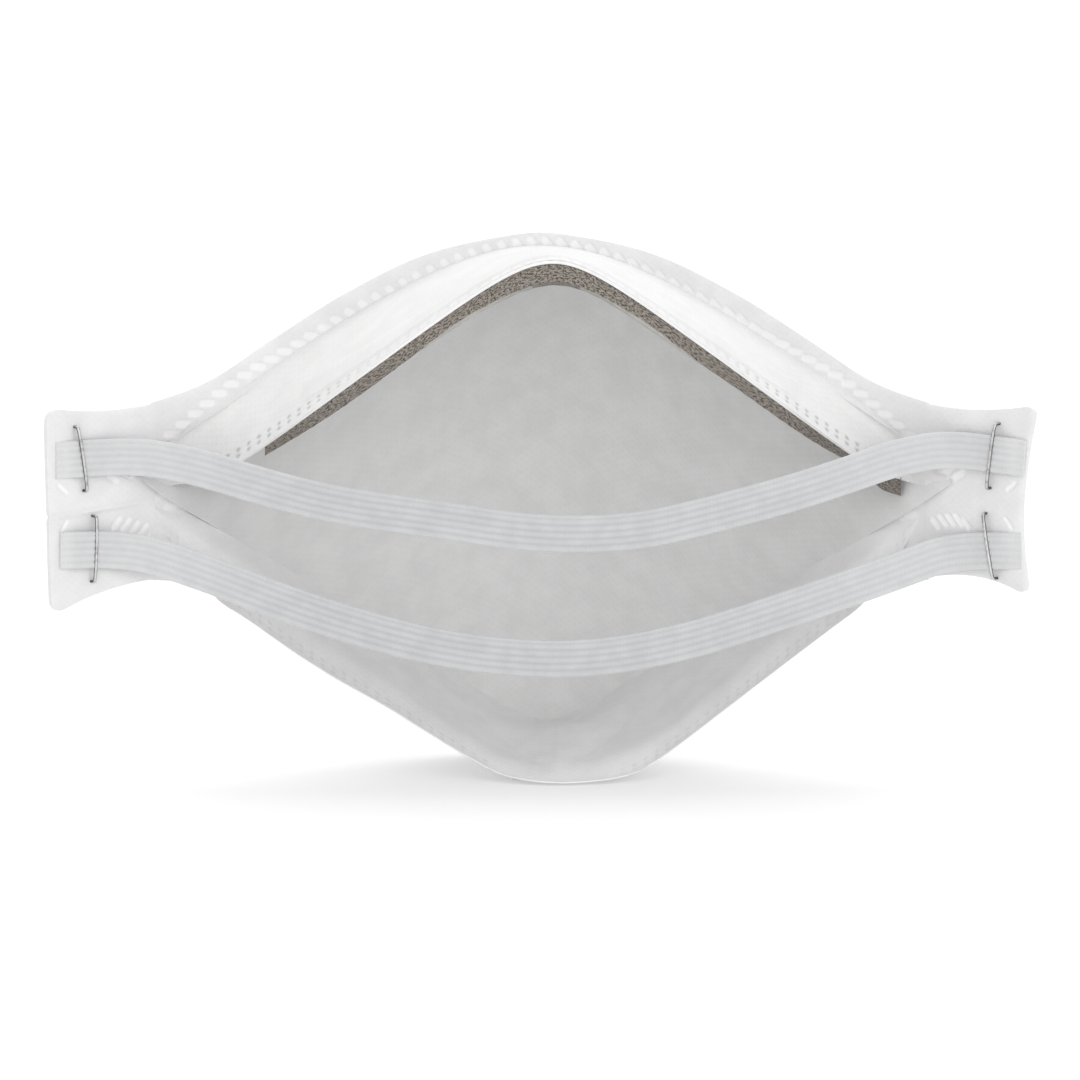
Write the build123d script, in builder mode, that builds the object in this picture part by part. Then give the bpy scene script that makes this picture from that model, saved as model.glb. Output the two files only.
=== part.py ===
from build123d import *

import math
import os

# Flat-fold dust mask, opened out and standing on its chin edge and lower seam.
# Millimetres. +X runs from tab to tab, +Y points out of the front of the mask, +Z is up.
# The origin is on the floor, at the middle of the box round everything but the head straps.
# Sections are drawn in YZ planes at stations along X, so a point of a section is (y, z).

# --- driving dimensions ---
TAB_HEIGHT = 51.0            # middle of the side tabs above the floor
FRONT_SHIFT = 17.4           # from the mouth corners' plane forward to the origin
CORNER_X = 72.0              # half width between the corners of the face opening
FLAP_END_X = 56.0            # half width of the part of a flap that swings
CHIN_X = 2.9                 # middle of the chin edge's flat stretch
FLAP_CROWN = 0.02            # rise of a flap's outer face, as a share of its depth
JOINT_GAP = 0.4              # between a swinging flap and its fixed ends
SEAM_STEP = (2.7, 1.0)       # flap edge behind and beyond the seam line

# Depths of each sheet's two faces below the outer face.
CENTRE_LAYERS = {
    "centre_panel_outer_web": (0.0, 0.3),
    "centre_panel_filter": (0.4, 1.1),
    "centre_panel_stiffener": (1.2, 1.6),
    "centre_panel_inner_web": (1.7, 2.0),
}
FLAP_LAYERS = {
    "outer_web": (0.0, 0.3),
    "filter": (1.1, 1.75),
    "inner_web": (1.8, 2.1),
}
FLAP_THICKNESS = 2.1

FIN_THICKNESS = 1.0          # welded seam flange
FIN_ROOT_GAP = 0.2           # between a flange and the panel's edge
FIN_TIP_Y = 0.6              # flange tip in front of the seam line
TAB_THICKNESS = 1.6
TAB_MIDDLE_Y = 4.0           # tab's middle plane in front of the mouth corners
TAB_SWEEP = 35.0             # degrees that each tab is swept back
TAB_CORNER = 2.4             # radius of a tab's two outer corners
CLIP = (5.0, 0.35, 0.95)     # nose clip: width, then its depths below the flap's outer face
CLIP_FROM_EDGE = 4.0
CLIP_SPAN = (-43.0, 47.0)
FOAM = (8.0, 2.3, 5.2)       # nose foam: width, then its depths below the flap's outer face
FOAM_START_X = -51.5
FOAM_END_X = 64.0

STRAP_WIDTH = 7.0
STRAP_THICKNESS = 0.8
STRAP_SPLIT_X = 66.0         # half width of the stretch of a strap that swings
STRAP_OFFSET = 1.5           # strap middle behind the tab's middle plane

WIRE = 0.55                  # staple wire diameter
STAPLE_CROWN = 12.7
STAPLE_LEG = 3.1

CHIN_TAB_WIDTH = 24.0
CHIN_TAB_DEPTH = 9.0
CHIN_TAB_THICKNESS = 0.6
CHIN_TAB_SHIFT = 0.9

os.makedirs("parts", exist_ok=True)


# --- curves of the opened shell, relative to the mouth corners and the tab middle ---
def swell(x, base, rise, half_period=144.0):
    """Plan curve that bulges forward in the middle."""
    return base + rise * math.cos(math.pi * x / half_period)


def ridge(offset, slope, rounding):
    """Distance down a roof with straight sides and a rounded top."""
    return slope * (math.hypot(offset, rounding) - rounding)


def soft_floor(value, floor, blend):
    """The larger of two values, with a smooth change from one to the other."""
    gap = value - floor
    return floor + (gap + math.hypot(gap, blend)) / 2


def smooth_curve(points):
    """Even curve through (x, value) points."""
    def slope(i):
        before = points[max(i - 1, 0)]
        after = points[min(i + 1, len(points) - 1)]
        return (after[1] - before[1]) / (after[0] - before[0])

    def value(x):
        i = 0
        while i < len(points) - 2 and x > points[i + 1][0]:
            i += 1
        (x0, v0), (x1, v1) = points[i], points[i + 1]
        step = x1 - x0
        t = (x - x0) / step
        start = v0 * (2 * t**3 - 3 * t**2 + 1) + slope(i) * step * (t**3 - 2 * t**2 + t)
        end = v1 * (3 * t**2 - 2 * t**3) + slope(i + 1) * step * (t**3 - t**2)
        return start + end

    return value


cut_edge_top = smooth_curve([(0, 47.2), (20, 43.9), (36, 37.2), (50, 29.4), (62, 22.6), (74, 19.3)])
cut_edge_low = smooth_curve([(0, -51), (10, -47.2), (22, -39), (45, -22.8), (60, -16), (74, -13.4)])
nose_edge_y = smooth_curve([(0, -6), (24, -2), (40, 2), (52, 4), (62, 3.6), (72, 1.4)])
chin_edge_y = smooth_curve([(0, -4), (24, -1), (40, 1.5), (52, 2.5), (62, 2.0), (72, 0.8)])


def upper_seam_at(x):
    return swell(x, 4.0, 32.0), 43.8 - ridge(x, 0.66, 25.0)


def lower_seam_at(x):
    return swell(x, 3.0, 31.0), -45.6 + ridge(x - 1.2, 0.73, 6.0)


def front_at(x):
    """Foremost point of the centre panel."""
    top = upper_seam_at(x)[1]
    bottom = lower_seam_at(x)[1]
    return swell(x, 4.6, 41.4), (top + bottom) / 2


def nose_edge_at(x):
    return nose_edge_y(abs(x)), soft_floor(47.8 - ridge(x - 2.2, 0.81, 9.0), 3.0, 5.0)


def chin_edge_at(x):
    flat_end, slope, lift = (11.5, 0.625, 0.045) if x < CHIN_X else (16.2, 0.763, 0.045)
    side = abs(x - CHIN_X) - flat_end
    corner = lift * max(0.0, abs(x) - 58.0) ** 2
    return chin_edge_y(abs(x)), soft_floor(slope * side, 0.0, 2.5) - 50.0 + corner


def pinch(x):
    """The layers press together towards the mouth corners."""
    return 1.0 - 0.5 * max(0.0, abs(x) - FLAP_END_X) / (CORNER_X - FLAP_END_X)


def place(point):
    """From the mouth corners' plane and the tab middle to the part's own frame."""
    return point[0] - FRONT_SHIFT, point[1] + TAB_HEIGHT


# --- section helpers, all in a YZ plane ---
def circle_through(a, b, c):
    """Centre and radius of the circle through three points."""
    d = 2 * (a[0] * (b[1] - c[1]) + b[0] * (c[1] - a[1]) + c[0] * (a[1] - b[1]))
    sa, sb, sc = (p[0] ** 2 + p[1] ** 2 for p in (a, b, c))
    y = (sa * (b[1] - c[1]) + sb * (c[1] - a[1]) + sc * (a[1] - b[1])) / d
    z = (sa * (c[0] - b[0]) + sb * (a[0] - c[0]) + sc * (b[0] - a[0])) / d
    return (y, z), math.dist((y, z), a)


def shell_section(points, near, far):
    """The two arcs of a band between two depths below the outer arc through three points."""
    centre, radius = circle_through(*points)

    def sink(point, depth):
        share = (radius - depth) / radius
        y = centre[0] + share * (point[0] - centre[0])
        z = centre[1] + share * (point[1] - centre[1])
        return place((y, z))

    outer = [sink(point, near) for point in points]
    inner = [sink(point, far) for point in reversed(points)]
    return outer, inner


def centre_section(x, near, far):
    points = [upper_seam_at(x), front_at(x), lower_seam_at(x)]
    return shell_section(points, near * pinch(x), far * pinch(x))


def flap_line(seam, edge, outwards):
    """Seam side, crown and free edge of a flap's outer face."""
    start = (seam[0] - SEAM_STEP[0], seam[1] + outwards * SEAM_STEP[1])
    length = math.dist(start, edge)
    crown = FLAP_CROWN * length * outwards
    lean = (edge[1] - start[1]) / length
    run = (start[0] - edge[0]) / length
    middle = ((start[0] + edge[0]) / 2 + crown * lean, (start[1] + edge[1]) / 2 + crown * run)
    return start, middle, edge


def top_flap(x):
    return flap_line(upper_seam_at(x), nose_edge_at(x), 1)


def bottom_flap(x):
    return flap_line(lower_seam_at(x), chin_edge_at(x), -1)


def flap_section(x, flap, near, far):
    return shell_section(flap(x), near * pinch(x), far * pinch(x))


def strip_section(x, from_edge, width, near, far):
    """Corners of a strip that follows the nose edge on the top flap's inner side."""
    start, middle, edge = top_flap(x)
    centre, radius = circle_through(start, middle, edge)
    edge_angle = math.atan2(edge[1] - centre[1], edge[0] - centre[0])
    corners = []
    for reach, depth in ((0, near), (0, far), (width, far), (width, near)):
        angle = edge_angle - (from_edge + reach) / radius
        y = centre[0] + (radius - depth) * math.cos(angle)
        z = centre[1] + (radius - depth) * math.sin(angle)
        corners.append(place((y, z)))
    return corners


def fin_section(x, seam, tip_z, outwards):
    """Corners of a seam flange, from just beyond the seam line to its cut edge."""
    half = FIN_THICKNESS / 2
    base_z = seam[1] + outwards * FIN_ROOT_GAP
    root_y = seam[0] - half
    tip_y = seam[0] + FIN_TIP_Y
    return [
        place((root_y - half, base_z)),
        place((root_y + half, base_z)),
        place((tip_y + half, tip_z)),
        place((tip_y - half, tip_z)),
    ]


def stations(low, high, count):
    return [low + (high - low) * i / (count - 1) for i in range(count)]


def save(piece, label):
    piece.part.label = label
    export_step(piece.part, f"parts/{label}.step")


def loft_shell(label, spans, section):
    """A node of curved bands, one lofted solid for each run of stations."""
    with BuildPart() as shell:
        for span in spans:
            for x in span:
                outer, inner = section(x)
                with BuildSketch(Plane.YZ.offset(x)):
                    with BuildLine():
                        ThreePointArc(*outer)
                        Line(outer[2], inner[0])
                        ThreePointArc(*inner)
                        Line(inner[2], outer[0])
                    make_face()
            loft()
    save(shell, label)


def loft_strip(label, span, section):
    """A node of one four-sided strip."""
    with BuildPart() as strip:
        for x in span:
            with BuildSketch(Plane.YZ.offset(x)):
                with BuildLine():
                    Polyline(*section(x), close=True)
                make_face()
        loft()
    save(strip, label)


# --- centre panel: four sheets, joined to the flaps along two welded seams ---
for label, (near, far) in CENTRE_LAYERS.items():
    loft_shell(
        label,
        [stations(-CORNER_X, CORNER_X, 13)],
        lambda x: centre_section(x, near, far),
    )


# --- top and bottom flaps: three sheets each ---
# The corners of a flap are pressed together and stay with the centre panel.
for panel, flap in (("top_panel", top_flap), ("bottom_panel", bottom_flap)):
    for layer, (near, far) in FLAP_LAYERS.items():
        loft_shell(
            f"{panel}_{layer}",
            [stations(-FLAP_END_X, FLAP_END_X, 17)],
            lambda x: flap_section(x, flap, near, far),
        )
    ends = stations(FLAP_END_X + JOINT_GAP, CORNER_X, 4)
    loft_shell(
        f"{panel}_ends",
        [ends, [-x for x in ends]],
        lambda x: flap_section(x, flap, 0.0, FLAP_THICKNESS),
    )


# --- nose clip, between the top flap's outer web and its filter ---
loft_strip("nose_clip", stations(*CLIP_SPAN, 13), lambda x: strip_section(x, CLIP_FROM_EDGE, *CLIP))


# --- nose foam, on the inner face along the nose edge ---
def foam_end_section(x):
    width, near, far = FOAM
    taper = pinch(x) ** 2
    return strip_section(x, 0.0, width * taper, near * pinch(x) + 0.1, far * taper)


loft_strip("nose_foam", stations(FOAM_START_X, FLAP_END_X, 15), lambda x: strip_section(x, 0.0, *FOAM))
loft_strip("nose_foam_end", stations(FLAP_END_X + JOINT_GAP, FOAM_END_X, 3), foam_end_section)


# --- welded seam flanges ---
def upper_fin(x):
    return fin_section(x, upper_seam_at(x), cut_edge_top(abs(x)), 1)


def lower_fin(x):
    return fin_section(x, lower_seam_at(x), cut_edge_low(abs(x)), -1)


loft_strip("upper_seam", stations(-CORNER_X, CORNER_X, 17), upper_fin)
loft_strip("lower_seam", stations(-CORNER_X, CORNER_X, 17), lower_fin)


# --- side tabs: the welded ends of all the panels, swept back ---
SWEEP_COS = math.cos(math.radians(TAB_SWEEP))
SWEEP_SIN = math.sin(math.radians(TAB_SWEEP))


def tab_plane(side):
    """Middle plane of a tab: x runs along it towards +X, y is up, z points forwards or back."""
    return Plane(
        origin=(side * CORNER_X, TAB_MIDDLE_Y - FRONT_SHIFT, TAB_HEIGHT),
        x_dir=(SWEEP_COS, -side * SWEEP_SIN, 0),
        z_dir=(-side * SWEEP_SIN, -SWEEP_COS, 0),
    )


# Distance outwards from the mouth corner and height, for each side:
# upper cut edge, waist of the end edge, lower cut edge.
TAB_OUTLINES = {
    -1: (
        [(0.8, 19.5), (12, 19.1), (25.3, 20.8)],
        (24.3, 2.5),
        [(24.0, -18.8), (12, -14.9), (0.8, -13.6)],
    ),
    1: (
        [(0.8, 19.5), (12, 19.3), (25.8, 21.4)],
        (22.3, 2.5),
        [(24.2, -15.2), (12, -12.2), (0.8, -13.2)],
    ),
}
TAB_NAMES = {-1: "left_tab", 1: "right_tab"}
# Side and strap: middle of the crown on the tab, and its lean in degrees.
STAPLES = {
    (-1, "upper"): ((-17.7, 10.6), 9.5),
    (1, "upper"): ((16.2, 11.0), -8.5),
    (-1, "lower"): ((-14.8, -6.6), -2.0),
    (1, "lower"): ((15.6, -6.0), 10.5),
}


def leg_spots(spot, lean):
    """Where a staple's two legs go through the tab."""
    half = (STAPLE_CROWN - WIRE) / 2
    across = half * math.sin(math.radians(lean))
    up = half * math.cos(math.radians(lean))
    return [(spot[0] - across, spot[1] + up), (spot[0] + across, spot[1] - up)]


for side, (top_edge, waist, low_edge) in TAB_OUTLINES.items():
    top_points = [(side * s, z) for s, z in top_edge]
    low_points = [(side * s, z) for s, z in low_edge]
    with BuildPart() as tab:
        with BuildSketch(tab_plane(side)):
            with BuildLine():
                ThreePointArc(*top_points)
                ThreePointArc(top_points[2], (side * waist[0], waist[1]), low_points[0])
                ThreePointArc(*low_points)
                Line(low_points[2], top_points[0])
            make_face()
            by_x = vertices().sort_by(Axis.X)
            fillet(by_x[2:] if side > 0 else by_x[:2], radius=TAB_CORNER)
        extrude(amount=TAB_THICKNESS / 2, both=True)
        for (staple_side, _), (spot, lean) in STAPLES.items():
            if staple_side == side:
                with BuildSketch(tab_plane(side)):
                    with Locations(*leg_spots(spot, lean)):
                        Circle(WIRE / 2 + 0.05)
                extrude(amount=TAB_THICKNESS, both=True, mode=Mode.SUBTRACT)
    save(tab, TAB_NAMES[side])


# --- head straps: flat elastic bands on edge, stapled to the tabs and bowed back ---
# Hand-set routes of the bands' middle lines, from the left tab to the right.
STRAP_ROUTES = {
    "upper": [
        (-90.0, -10.42, 10.6), (-78.1, -2.1, 10.8), (-66, -2.8, 9.1), (-52, -6.4, 5.3),
        (-38, -10.4, 2.2), (-20, -14.2, 0.3), (0, -16, -2.5), (18, -14.8, -2.2),
        (32, -11.8, 0.7), (47, -8, 4.2), (58, -4.8, 7.4), (67, -2.8, 10.4),
        (78.1, -2.1, 12.2), (90.0, -10.42, 11.0),
    ],
    "lower": [
        (-89.2, -9.85, -6.4), (-78.1, -2.1, -6.7), (-66, -3, -10.2), (-45, -8.8, -17.5),
        (-26, -13, -22.7), (-10, -15.4, -25.4), (8, -15.7, -26.2), (26, -13, -23.5),
        (41, -9.6, -19), (54, -6, -14.2), (67, -2.8, -9.2), (78.1, -2.1, -6.3),
        (89.5, -10.08, -7.6),
    ],
}


def corner_radii(points):
    """The largest even bends that the runs on both sides of each corner allow."""
    radii = []
    for before, corner, after in zip(points, points[1:], points[2:]):
        run_in = Vector(*corner) - Vector(*before)
        run_out = Vector(*after) - Vector(*corner)
        half_turn = math.radians(run_in.get_angle(run_out)) / 2
        radii.append(0.45 * min(run_in.length, run_out.length) / math.tan(half_turn))
    return radii


def strap_band(route):
    """The whole band, tab to tab."""
    points = [(x, *place((y, z))) for x, y, z in route]
    with BuildPart() as band:
        with BuildLine() as path:
            FilletPolyline(*points, radius=corner_radii(points))
        with BuildSketch(Plane(origin=path.line @ 0, x_dir=(0, 0, 1), z_dir=path.line % 0)):
            Rectangle(STRAP_WIDTH, STRAP_THICKNESS)
        sweep()
    return band.part


for level, route in STRAP_ROUTES.items():
    radii = corner_radii(route)
    print(f"{level} strap: smallest bend {min(radii):.1f} mm")
    whole = strap_band(route)
    with BuildPart() as strap:
        add(whole)
        split(bisect_by=Plane.YZ.offset(STRAP_SPLIT_X - JOINT_GAP), keep=Keep.BOTTOM)
        split(bisect_by=Plane.YZ.offset(JOINT_GAP - STRAP_SPLIT_X), keep=Keep.TOP)
    save(strap, f"{level}_strap")
    with BuildPart() as strap_ends:
        add(whole)
        with BuildSketch(Plane.YZ):
            Rectangle(200, 200)
        extrude(amount=STRAP_SPLIT_X, both=True, mode=Mode.SUBTRACT)
    save(strap_ends, f"{level}_strap_ends")


# --- staples: the crown lies over the strap, the legs pass it and are clinched in front ---
def staple_plane(side, spot, lean):
    """x runs along the crown, y points back out of the tab."""
    tab_middle = tab_plane(side)
    tilt = math.radians(lean)
    along = tab_middle.x_dir * -math.sin(tilt) + tab_middle.y_dir * math.cos(tilt)
    origin = tab_middle.from_local_coords((spot[0], spot[1], 0))
    return Plane(origin=origin, x_dir=along, z_dir=along.cross(tab_middle.z_dir))


crown_height = STRAP_OFFSET + STRAP_THICKNESS / 2 + WIRE / 2 + 0.2
clinch_depth = TAB_THICKNESS / 2 + WIRE / 2 + 0.05
leg_x = (STAPLE_CROWN - WIRE) / 2
for (side, level), (spot, lean) in STAPLES.items():
    place_on = staple_plane(side, spot, lean)
    with BuildPart() as staple:
        with BuildLine(place_on) as wire_path:
            FilletPolyline(
                (-leg_x + STAPLE_LEG, -clinch_depth),
                (-leg_x, -clinch_depth),
                (-leg_x, crown_height),
                (leg_x, crown_height),
                (leg_x, -clinch_depth),
                (leg_x - STAPLE_LEG, -clinch_depth),
                radius=0.35,
            )
        with BuildSketch(Plane(origin=wire_path.line @ 0, z_dir=wire_path.line % 0)):
            Circle(WIRE / 2)
        sweep()
    save(staple, f"staple_{level}_{'left' if side < 0 else 'right'}")


# --- chin tab: a short pull tab, folded forwards under the chin edge ---
chin_y, _ = place(chin_edge_at(CHIN_X))
with BuildPart() as chin_tab:
    with BuildSketch(Plane.XY):
        with Locations((CHIN_X + CHIN_TAB_SHIFT, chin_y + CHIN_TAB_DEPTH / 2)):
            Rectangle(CHIN_TAB_WIDTH, CHIN_TAB_DEPTH)
        fillet(vertices().group_by(Axis.Y)[-1], radius=3.0)
    extrude(amount=CHIN_TAB_THICKNESS)
save(chin_tab, "chin_tab")
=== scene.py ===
import math

import bpy
import numpy as np
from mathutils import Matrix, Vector


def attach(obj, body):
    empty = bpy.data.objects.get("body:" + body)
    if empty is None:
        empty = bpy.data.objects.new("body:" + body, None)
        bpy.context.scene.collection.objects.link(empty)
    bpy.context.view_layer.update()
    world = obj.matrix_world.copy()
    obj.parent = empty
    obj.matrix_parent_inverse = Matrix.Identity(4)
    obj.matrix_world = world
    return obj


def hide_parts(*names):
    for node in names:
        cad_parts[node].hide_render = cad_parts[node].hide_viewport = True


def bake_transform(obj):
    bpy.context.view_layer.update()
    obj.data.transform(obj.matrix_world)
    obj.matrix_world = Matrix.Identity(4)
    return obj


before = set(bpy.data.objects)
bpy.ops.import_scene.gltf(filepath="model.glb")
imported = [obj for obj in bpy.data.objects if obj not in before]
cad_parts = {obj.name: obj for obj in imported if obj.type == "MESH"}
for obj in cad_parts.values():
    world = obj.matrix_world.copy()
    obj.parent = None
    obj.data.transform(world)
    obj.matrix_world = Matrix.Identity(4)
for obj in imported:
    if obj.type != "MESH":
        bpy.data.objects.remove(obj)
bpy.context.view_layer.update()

# A flat-fold dust mask, opened out and standing on its chin edge, seen from the wearer's side.
# Lengths are in millimetres until a mesh is made. In a point (x, y, z), x runs from tab to tab,
# y is measured forwards from the plane of the mouth corners and z up from the middle of the side
# tabs. A section is (y, z) at a station along x, and a grid of points has its stations as rows.
MM = 0.001
TAB_HEIGHT = 51.0  # middle of the side tabs above the floor
FRONT_SHIFT = 17.4  # from the mouth corners' plane forward to the origin
CORNER_X = 72.0  # half width between the mouth corners
TAB_MIDDLE_Y = 4.0  # a side tab's middle plane at the mouth corner
TAB_SWEEP = math.radians(35.0)
SWEEP_COS, SWEEP_SIN = math.cos(TAB_SWEEP), math.sin(TAB_SWEEP)
SWEEP_TAN = math.tan(TAB_SWEEP)

# How each line bows forwards: y at the mouth corners, and how much more in the middle.
UPPER_SEAM_BOW = (4.0, 32.0)
LOWER_SEAM_BOW = (3.0, 31.0)
FRONT_BOW = (4.6, 41.4)

SEAM_STEP = (2.7, 1.0)  # a flap starts this far behind its seam line and beyond it
FLAP_CROWN = 0.02  # rise of a flap's section, as a share of its depth
FLAP_THICKNESS = 2.1
CHIN_X = 2.9  # middle of the chin edge's flat stretch
LIP_X = 4.9  # middle of the chin's curled lip
LIP_HALF_WIDTH = 16.5
LIP_CURL = 4.6  # how far the lip curls in towards the wearer
LIP_DROP = 0.7  # and how far it comes down
EDGE_ROUNDING = 7.0  # softens the cut edges where they cross the middle


# --- curves of the opened shell ---
def smoothstep(value, low=0.0, high=1.0):
    t = np.clip((value - low) / (high - low), 0.0, 1.0)
    return t * t * (3 - 2 * t)


def bump(distance, half_width, soft):
    """1 within half_width of zero, falling to 0 over the soft distance."""
    return 1 - smoothstep(np.abs(distance), half_width, half_width + soft)


def swell(x, base, rise):
    """y of a line that bows forwards between the mouth corners."""
    return base + rise * np.cos(np.pi * x / (2 * CORNER_X))


def ridge(offset, slope, rounding):
    """How far a rounded ridge has dropped at an offset from its top."""
    return slope * (np.hypot(offset, rounding) - rounding)


def soft_floor(value, floor, blend):
    """The value, eased onto a floor that it doesn't pass."""
    gap = value - floor
    return floor + (gap + np.hypot(gap, blend)) / 2


def smooth_curve(points):
    """A function of x, smooth through a few (x, value) points."""
    xs, vs = np.array(points, float).T
    slopes = np.gradient(vs, xs)
    slopes[1:-1] = (vs[2:] - vs[:-2]) / (xs[2:] - xs[:-2])

    def value(x):
        x = np.asarray(x, float)
        i = np.clip(np.searchsorted(xs, x) - 1, 0, len(xs) - 2)
        step = xs[i + 1] - xs[i]
        t = (x - xs[i]) / step
        start = vs[i] * (2 * t**3 - 3 * t**2 + 1) + slopes[i] * step * (t**3 - 2 * t**2 + t)
        end = vs[i + 1] * (3 * t**2 - 2 * t**3) + slopes[i + 1] * step * (t**3 - t**2)
        return start + end

    return value


# Heights of the margins' cut edges, and y of the flaps' free edges, against |x|.
cut_edge_top = smooth_curve([(0, 47.2), (20, 43.9), (36, 37.2), (50, 29.4), (62, 22.6), (74, 19.3)])
cut_edge_low = smooth_curve([(0, -51), (10, -47.2), (22, -39), (45, -22.8), (60, -16), (74, -13.4)])
nose_edge_y = smooth_curve([(0, -6), (24, -2), (40, 2), (52, 4), (62, 3.6), (72, 1.4)])
chin_edge_y = smooth_curve([(0, -4), (24, -1), (40, 1.5), (52, 2.5), (62, 2.0), (72, 0.8)])


def rounded_abs(x):
    """|x| without its corner at zero."""
    return x * x / np.sqrt(x * x + EDGE_ROUNDING**2)


def upper_seam(x):
    return np.stack([swell(x, *UPPER_SEAM_BOW), 43.8 - ridge(x, 0.66, 25.0)], -1)


def lower_seam(x):
    return np.stack([swell(x, *LOWER_SEAM_BOW), -45.6 + ridge(x - 1.2, 0.73, 6.0)], -1)


def front(x):
    """The centre panel's foremost line, midway between the seams."""
    middle = (upper_seam(x)[..., 1] + lower_seam(x)[..., 1]) / 2
    return np.stack([swell(x, *FRONT_BOW), middle], -1)


def nose_edge(x):
    """The top flap's free edge."""
    height = soft_floor(47.8 - ridge(x - 2.2, 0.81, 9.0), 3.0, 5.0)
    return np.stack([nose_edge_y(np.abs(x)), height], -1)


def chin_edge(x):
    """The bottom flap's free edge: a flat stretch with a curled lip, and two flanks."""
    left = x < CHIN_X
    flat_end = np.where(left, 11.5, 16.2)
    slope = np.where(left, 0.625, 0.763)
    corner_rise = 0.045 * np.maximum(0.0, np.abs(x) - 58.0) ** 2
    left_sag = 0.85 * bump(x + 42.0, 1.5, 14.0)
    flank = soft_floor(slope * (np.abs(x - CHIN_X) - flat_end), 0.0, 2.5)
    z = flank - 50.0 + corner_rise - left_sag
    lip = np.clip(1 - ((x - LIP_X) / LIP_HALF_WIDTH) ** 2, 0.0, 1.0) ** 1.15
    return np.stack([chin_edge_y(np.abs(x)) - LIP_CURL * lip, np.minimum(z, 0.6) - LIP_DROP * lip], -1)


def pinch(x):
    """The layers press together towards the mouth corners."""
    return 1.0 - 0.5 * smoothstep(np.abs(x), 56.0, CORNER_X)


def settling(x):
    """0 on the free part of a flap, 1 where it lies on its side tab."""
    return smoothstep(np.abs(x), 58.0, 71.5)


def ripple(u, v, size=1.0):
    """Slow unevenness, from -1 to 1."""
    total = np.zeros(np.broadcast(u, v).shape)
    for a, b, phase, share in (
        (0.061, 0.093, 0.4, 0.34), (0.117, -0.052, 2.1, 0.27),
        (-0.083, 0.171, 4.0, 0.21), (0.229, 0.127, 1.2, 0.18),
    ):
        total = total + share * np.sin((a * u + b * v) / size + phase)
    return total


def run_along(line):
    """The distance travelled up to each point of a line."""
    return np.concatenate([[0], np.cumsum(np.linalg.norm(np.diff(line, axis=0), axis=1))])


# --- arcs through three points of a section, for many stations at once ---
def arc_through(a, b, c):
    """The arcs from points a through points b to points c."""
    (ay, az), (by, bz), (cy, cz) = a.T, b.T, c.T
    d = 2 * (ay * (bz - cz) + by * (cz - az) + cy * (az - bz))
    sa, sb, sc = ay**2 + az**2, by**2 + bz**2, cy**2 + cz**2
    y = (sa * (bz - cz) + sb * (cz - az) + sc * (az - bz)) / d
    z = (sa * (cy - by) + sb * (ay - cy) + sc * (by - ay)) / d
    centre = np.stack([y, z], 1)
    start = np.arctan2(az - z, ay - y)
    end = np.arctan2(cz - z, cy - y)
    sweep = (end - start + np.pi) % (2 * np.pi) - np.pi
    return {"centre": centre, "radius": np.hypot(*(a - centre).T), "start": start, "sweep": sweep}


def arc_length(arc):
    return arc["radius"] * np.abs(arc["sweep"])


def on_arc(arc, x, share, depth):
    """Points at shares of the arc and depths below it; rows are stations."""
    angle = arc["start"][:, None] + arc["sweep"][:, None] * share
    radius = arc["radius"][:, None] - depth
    y = arc["centre"][:, 0, None] + radius * np.cos(angle)
    z = arc["centre"][:, 1, None] + radius * np.sin(angle)
    return np.stack([np.broadcast_to(x[:, None], y.shape), y, z], -1)


def flap_arc(seam, edge, outwards):
    """A flap's outer face at each station, from its seam to its free edge."""
    start = seam + np.array([-SEAM_STEP[0], SEAM_STEP[1] * outwards])
    run = edge - start
    length = np.hypot(*run.T)[:, None]
    normal = np.stack([run[:, 1], -run[:, 0]], 1) / length * outwards
    return arc_through(start, (start + edge) / 2 + FLAP_CROWN * length * normal, edge)


def tab_back(x):
    """y of the welded margin's middle, from the seams out onto the swept tab."""
    x = np.abs(x)
    inside = swell(np.minimum(x, CORNER_X), *UPPER_SEAM_BOW)
    return np.where(x < CORNER_X, inside, TAB_MIDDLE_Y - (x - CORNER_X) * SWEEP_TAN)


# --- mesh making ---
def to_frame(points):
    return (points + np.array([0.0, -FRONT_SHIFT, TAB_HEIGHT])) * MM


def add_object(name, data):
    made = bpy.data.objects.new(name, data)
    bpy.context.scene.collection.objects.link(made)
    return made


def make_object(name, points, faces, uv, material, masks, sharp):
    """A closed mesh from points in metres, with outward normals."""
    points = np.asarray(points, float)
    tris = [(f[0], f[i], f[i + 1]) for f in faces for i in range(1, len(f) - 1)]
    corner = points[np.array(tris)]
    volume = np.einsum("ij,ij->i", corner[:, 0], np.cross(corner[:, 1], corner[:, 2])).sum()
    if volume < 0:
        faces = [tuple(reversed(f)) for f in faces]
    mesh = bpy.data.meshes.new(name)
    mesh.from_pydata(points.tolist(), [], faces)
    layer = mesh.uv_layers.new(name="surface")
    spots = np.empty(len(mesh.loops), np.int32)
    mesh.loops.foreach_get("vertex_index", spots)
    layer.data.foreach_set("uv", np.asarray(uv, np.float32)[spots].ravel())
    for mask, values in masks.items():
        attribute = mesh.attributes.new(mask, "FLOAT", "POINT")
        attribute.data.foreach_set("value", np.asarray(values, np.float32).ravel())
    mesh.shade_smooth()
    mesh.set_sharp_from_angle(angle=math.radians(sharp))
    mesh.materials.append(material)
    mesh.validate()
    return add_object(name, mesh)


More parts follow.
